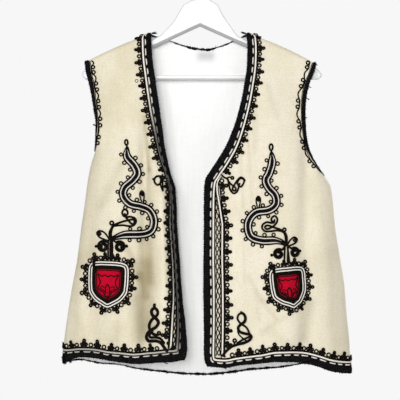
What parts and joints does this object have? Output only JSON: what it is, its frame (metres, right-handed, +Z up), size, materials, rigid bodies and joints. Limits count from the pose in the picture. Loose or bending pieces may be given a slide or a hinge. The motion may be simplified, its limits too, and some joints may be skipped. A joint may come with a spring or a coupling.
{
  "type": "embroidered folk vest on a hanger",
  "caption": "Sleeveless open-front vest of cream wool felt with black laid cord work and red felt shields, hung on a plain white hanger.",
  "frame": {"origin": "inside top of the hanger's hook, where it rests on a rail", "axes": "+Z up, +X towards the wearer's left front, -Y out of the front of the vest"},
  "size_m": [0.5098, 0.0844, 0.7215],
  "materials": {
    "cream_felt": "milled wool felt, matt, lightly fuzzy",
    "white_cotton": "plain weave, matt",
    "black_binding": "plaited wool braid, fuzzy",
    "black_cord": "twisted wool cord",
    "cream_cord": "wool felt between black laid cords",
    "red_felt": "wool felt, matt",
    "white_plastic": "smooth moulded plastic"
  },
  "bodies": {
    "root": {"armhole_binding_back_left": "black_binding", "armhole_binding_back_right": "black_binding", "armhole_binding_front_left": "black_binding", "armhole_binding_front_right": "black_binding", "back": "cream_felt", "back_lining": "white_cotton", "edge_binding_left": "black_binding", "edge_binding_right": "black_binding", "edge_chain_left": "black_cord", "edge_chain_right": "black_cord", "edge_cord_left": "cream_cord", "edge_cord_right": "cream_cord", "front_left": "cream_felt", "front_right": "cream_felt", "hanger": "white_plastic", "hem_binding_back": "black_binding", "hem_binding_left": "black_binding", "hem_binding_right": "black_binding", "hem_cord_left": "cream_cord", "hem_cord_right": "cream_cord", "nape_motif": "black_cord", "neck_binding": "black_binding", "serpentine_left": "black_cord", "serpentine_right": "black_cord", "shield_felt_left": "red_felt", "shield_felt_right": "red_felt", "shield_frame_left": "black_cord", "shield_frame_right": "black_cord", "spiral_left_1": "black_cord", "spiral_left_2": "black_cord", "spiral_right_1": "black_cord", "spiral_right_2": "black_cord", "stem_left": "black_cord", "stem_right": "black_cord"}
  },
  "joints": []
}
